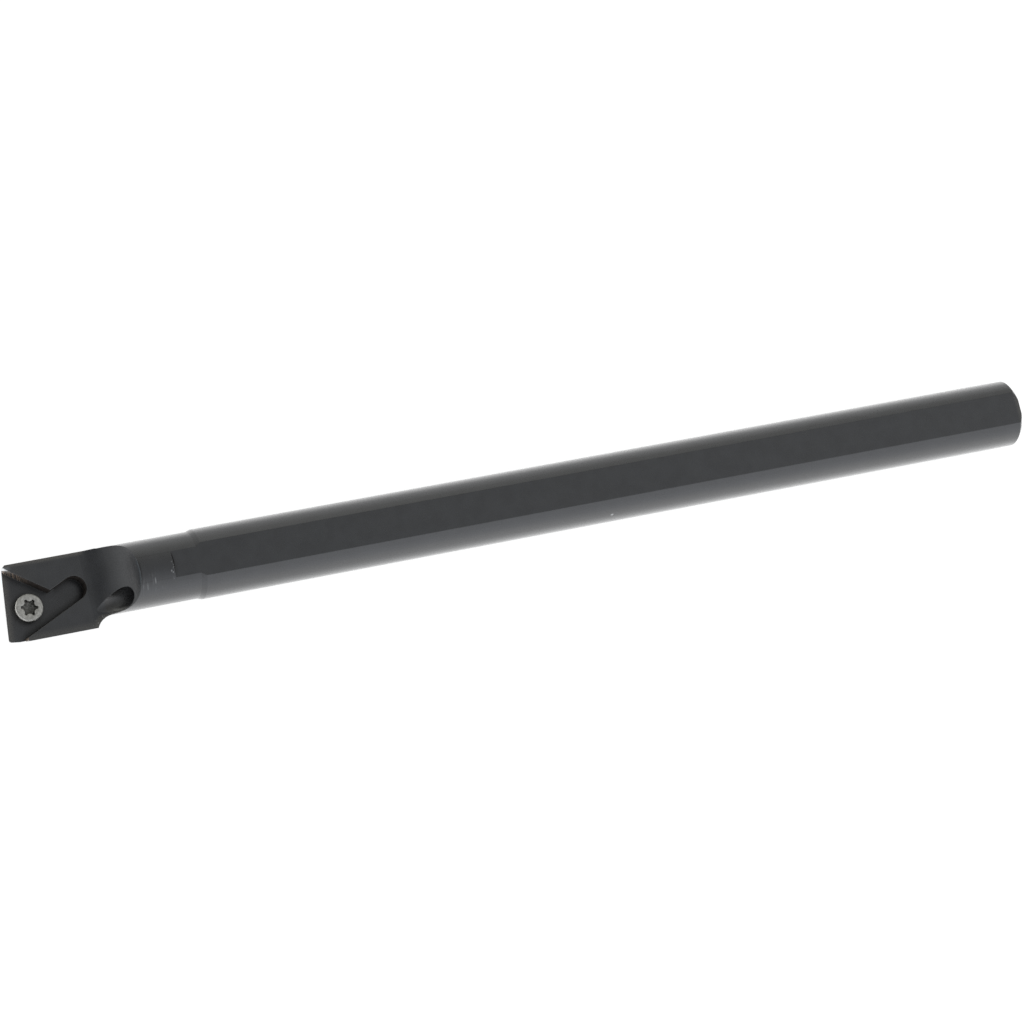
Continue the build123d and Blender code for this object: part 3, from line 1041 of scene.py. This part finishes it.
def tip_and_thread(tip, thread_low, thread_high):
    """Flat tip with a chamfer, then the thread."""
    rings = round_rings([(0.02, tip), (TIP_EDGE - 0.06, tip), (TIP_EDGE, tip + 0.02),
                         (THREAD_MINOR - 0.02, tip + 0.14)])
    for height in np.arange(thread_low, thread_high, PITCH / THREAD_STEPS):
        rings.append([(thread_radius(a, height, thread_low, thread_high), a, height)
                      for a in angles])
    return rings + round_rings([(THREAD_MINOR, thread_high)])


def head_rings(cone_foot, cone_top):
    """Cone, straight rim, chamfer and top, each edge rounded by a ring on both its sides."""
    return round_rings([
        (CONE_FOOT_RADIUS - 0.02, cone_foot - 0.02),
        (CONE_FOOT_RADIUS + 0.02, cone_foot + 0.03),
        (HEAD_RADIUS - 0.03, cone_top - 0.05),
        (HEAD_RADIUS, cone_top + 0.02),
        (HEAD_RADIUS, SCREW_TOP - RIM_CHAMFER - 0.03),
        (HEAD_RADIUS - 0.012, SCREW_TOP - RIM_CHAMFER + 0.012),
        (HEAD_RADIUS - RIM_CHAMFER + 0.03, SCREW_TOP - 0.018),
        (HEAD_RADIUS - RIM_CHAMFER - 0.03, SCREW_TOP),
        (HEAD_RADIUS - 0.40, SCREW_TOP),
    ])


def socket_rings():
    """Lobed outline going down into the socket: its size, its depth and what is added."""
    wall_top, wall_bottom = 0.05, SOCKET_DEPTH - 0.22
    levels = [(1.0, 0.0, 0.05), (1.0, 0.012, 0.02), (1.0, wall_top, 0.0)]
    for share in (0.25, 0.5, 0.75):
        levels.append((1.0 - 0.02 * share, wall_top + share * (wall_bottom - wall_top), 0.0))
    levels += [(0.97, wall_bottom, 0.0), (0.93, SOCKET_DEPTH - 0.18, 0.0),
               (0.60, SOCKET_DEPTH - 0.10, 0.0), (0.25, SOCKET_DEPTH - 0.03, 0.0)]
    return [[(max(lobe_radius(a) * size + added, SMALLEST), a, SCREW_TOP - depth)
             for a in angles] for size, depth, added in levels]


tip = SCREW_TOP - SCREW_LENGTH
cone_top = SCREW_TOP - HEAD_RIM
cone_foot = cone_top - (HEAD_RADIUS - CONE_FOOT_RADIUS) / CONE_SLOPE
screw_rings = tip_and_thread(tip, tip + 0.16, cone_foot - 0.06)
screw_rings += head_rings(cone_foot, cone_top) + socket_rings()
print("rings:", len(screw_rings), "head's cone from", round(cone_foot, 3), "mm")

# %% Screw piece
CREASE = math.radians(35)


def on_screw(radius, angle, height):
    """A point round the screw's axis, in metres."""
    x = SCREW_X + radius * math.cos(angle)
    y = SCREW_Y + radius * math.sin(angle)
    return (x * MM, y * MM, height * MM)


def skin(name, rings, low, high):
    """Joins rings of equal length into a closed mesh with a point at each end."""
    count = len(rings[0])
    points = [on_screw(*point) for ring in rings for point in ring]
    points += [on_screw(0.0, 0.0, low), on_screw(0.0, 0.0, high)]
    last = (len(rings) - 1) * count
    faces = []
    for level in range(0, last, count):
        for i in range(count):
            j = (i + 1) % count
            faces.append((level + i, level + j, level + count + j, level + count + i))
    for i in range(count):
        j = (i + 1) % count
        faces += [(j, i, len(points) - 2), (last + i, last + j, len(points) - 1)]
    mesh = bpy.data.meshes.new(name)
    mesh.from_pydata(points, [], faces)
    mesh.polygons.foreach_set("use_smooth", [True] * len(mesh.polygons))
    mesh.set_sharp_from_angle(angle=CREASE)
    mesh.update()
    piece = bpy.data.objects.new(name, mesh)
    bpy.context.scene.collection.objects.link(piece)
    return piece


threaded_screw = skin("threaded_insert_screw", screw_rings, tip, SCREW_TOP - SOCKET_DEPTH)
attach(threaded_screw, "screw")
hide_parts("insert_screw")
print("screw faces:", len(threaded_screw.data.polygons))

# %% [markdown]
# ## Screw finish
#
# The screw is bright steel dulled by tumbling, so it is a metal with a fairly rough surface.
# The faces of its head show rings from turning. Rings round an axis need a coordinate that
# grows with the radius, so the marks are drawn along the distance from the screw's axis. The
# inside of the socket is painted darker, shade is painted into the screw's corners, and the
# socket's rim and the rim of the head are rubbed bright.

# %% Screw colours
STEEL = rgb(0.36, 0.355, 0.33), rgb(0.59, 0.585, 0.55)
# The inside of the socket is painted darker
DARKER_SOCKET_STEEL = rgb(0.10, 0.10, 0.09), rgb(0.28, 0.28, 0.26)
# The last colour is near-black painted shade for the screw's corners
RUBBED_STEEL, PIT, SCREW_CORNER_SHADE = rgb(0.62, 0.61, 0.58), rgb(0.12, 0.11, 0.10), rgb(0.05, 0.045, 0.04)
PIT_STRENGTH, SCREW_SHADE_STRENGTH = 0.5, 0.8
SOCKET_TOP, SOCKET_EDGE = (SCREW_TOP - 0.06, SCREW_TOP - 0.14), (1.30, 1.20)


def screw_colour(tree, place, radius, cloud):
    """Uneven steel with pits, a socket painted darker, painted shade in corners, and bright edges.
    """
    grit = use_group(tree, mottle, Place=place, Scale=5.0)["Value"]
    pits = use_group(tree, specks, Place=place, Scale=7.0, Share=0.15, Size=0.3)["Mask"]
    rubbed = use_group(tree, worn_edges, Place=place, Radius=0.05 * MM, Patch_Scale=3.0,
                       Patch_Amount=0.35)["Mask"]
    # Painted shade in the screw's corners, from how shut in they are
    screw_corner_shade_mask = use_group(tree, corner_shade, Distance=0.7 * MM, Strength=1.0)["Mask"]
    # The inside of the socket is painted darker
    in_socket = both(tree, ramp(tree, split(tree, place)[2], *SOCKET_TOP),
                     ramp(tree, radius, *SOCKET_EDGE))
    painted = (
        (both(tree, pits, PIT_STRENGTH), PIT),
        (in_socket, blend_colour(tree, grit, *DARKER_SOCKET_STEEL)),
        (rubbed, RUBBED_STEEL),
        (both(tree, screw_corner_shade_mask, SCREW_SHADE_STRENGTH), SCREW_CORNER_SHADE),
    )
    colour = blend_colour(tree, cloud, *STEEL)
    for mask, paint in painted:
        colour = blend_colour(tree, mask, colour, paint)
    return colour


print("screw colours ready")

# %% Screw material
STEEL_IOR, STEEL_METALLIC, STEEL_ROUGHNESS = 2.5, 0.8, (0.45, 0.58)
SCREW_MARK_STRENGTH, SCREW_MARK_DEPTH = 0.35, 0.015 * MM


def satin_steel():
    """The screw's finish, with rings from turning and fine scratches."""
    material, tree, shader = new_material("satin_screw_steel", STEEL_IOR)
    shader["Metallic"].default_value = STEEL_METALLIC
    place = use_group(tree, place_in_mm)["Place"]
    radius = from_line(tree, place, (SCREW_X, SCREW_Y, 0.0), (1.0, 1.0, 0.0))
    cloud = use_group(tree, mottle, Place=place, Scale=3.0)["Value"]
    feed(tree, shader["Base Color"], screw_colour(tree, place, radius, cloud))
    feed(tree, shader["Roughness"], ramp(tree, cloud, 0.0, 1.0, *STEEL_ROUGHNESS))

    polar = put(tree, "ShaderNodeCombineXYZ")
    feed(tree, polar.inputs[0], radius)
    feed(tree, polar.inputs[2], split(tree, place)[2])
    rings = use_group(tree, tool_marks, Place=polar.outputs[0], Stretch=(22.0, 1.0, 22.0))
    scratches = use_group(tree, tool_marks, Place=place, Stretch=(14.0, 5.0, 9.0), Roughness=0.8)
    bump = put(tree, "ShaderNodeBump")
    bump.inputs["Strength"].default_value = SCREW_MARK_STRENGTH
    bump.inputs["Distance"].default_value = SCREW_MARK_DEPTH
    feed(tree, bump.inputs["Height"], calc(tree, "ADD", rings["Height"], scratches["Height"]))
    feed(tree, shader["Normal"], bump.outputs["Normal"])
    return material


threaded_screw.data.materials.append(satin_steel())
print("screw finish:", threaded_screw.data.materials[0].name)

# %% [markdown]
# ## Finish

# %% End
print("end of the scene")
